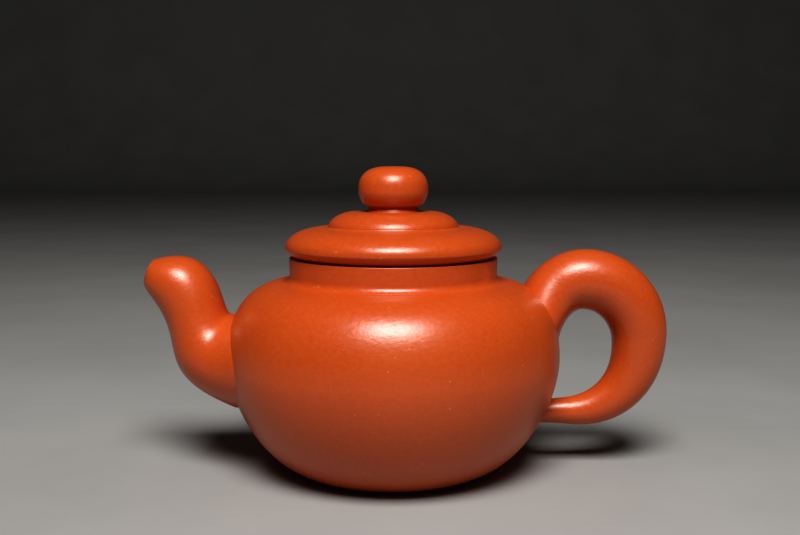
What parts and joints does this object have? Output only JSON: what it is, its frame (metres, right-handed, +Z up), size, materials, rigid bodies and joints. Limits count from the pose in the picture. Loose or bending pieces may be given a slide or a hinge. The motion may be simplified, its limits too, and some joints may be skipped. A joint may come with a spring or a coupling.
{
  "type": "teapot",
  "caption": "Round unglazed clay teapot with a thick S-shaped spout, ear-shaped loop handle and a lift-off lid with a stepped cap and bead knob.",
  "frame": {"origin": "centre of the resting ring under the base, on the table's plane", "axes": "+Z up along the pot's axis, -X towards the spout, +X towards the handle"},
  "size_m": [0.1382, 0.0876, 0.0797],
  "materials": {
    "clay": "satin"
  },
  "bodies": {
    "pot": {"body_wall": "clay", "shoulder_disc": "clay", "neck_collar": "clay", "base_disc": "clay", "spout": "clay", "handle": "clay"},
    "lid_seat_ring": {"lid_flange": "clay"},
    "lid": {"lid_plate": "clay", "lid_tier": "clay", "knob_neck": "clay", "knob": "clay"}
  },
  "joints": [
    {"name": "lid_lift", "type": "slide", "parent": "pot", "child": "lid_seat_ring", "axis": [0, 0, 1], "range_m": [0, 0.06]},
    {"name": "lid_turn", "type": "hinge", "parent": "lid_seat_ring", "child": "lid", "pos_m": [0, 0, 0.06], "axis": [0, 0, 1], "continuous": true}
  ]
}
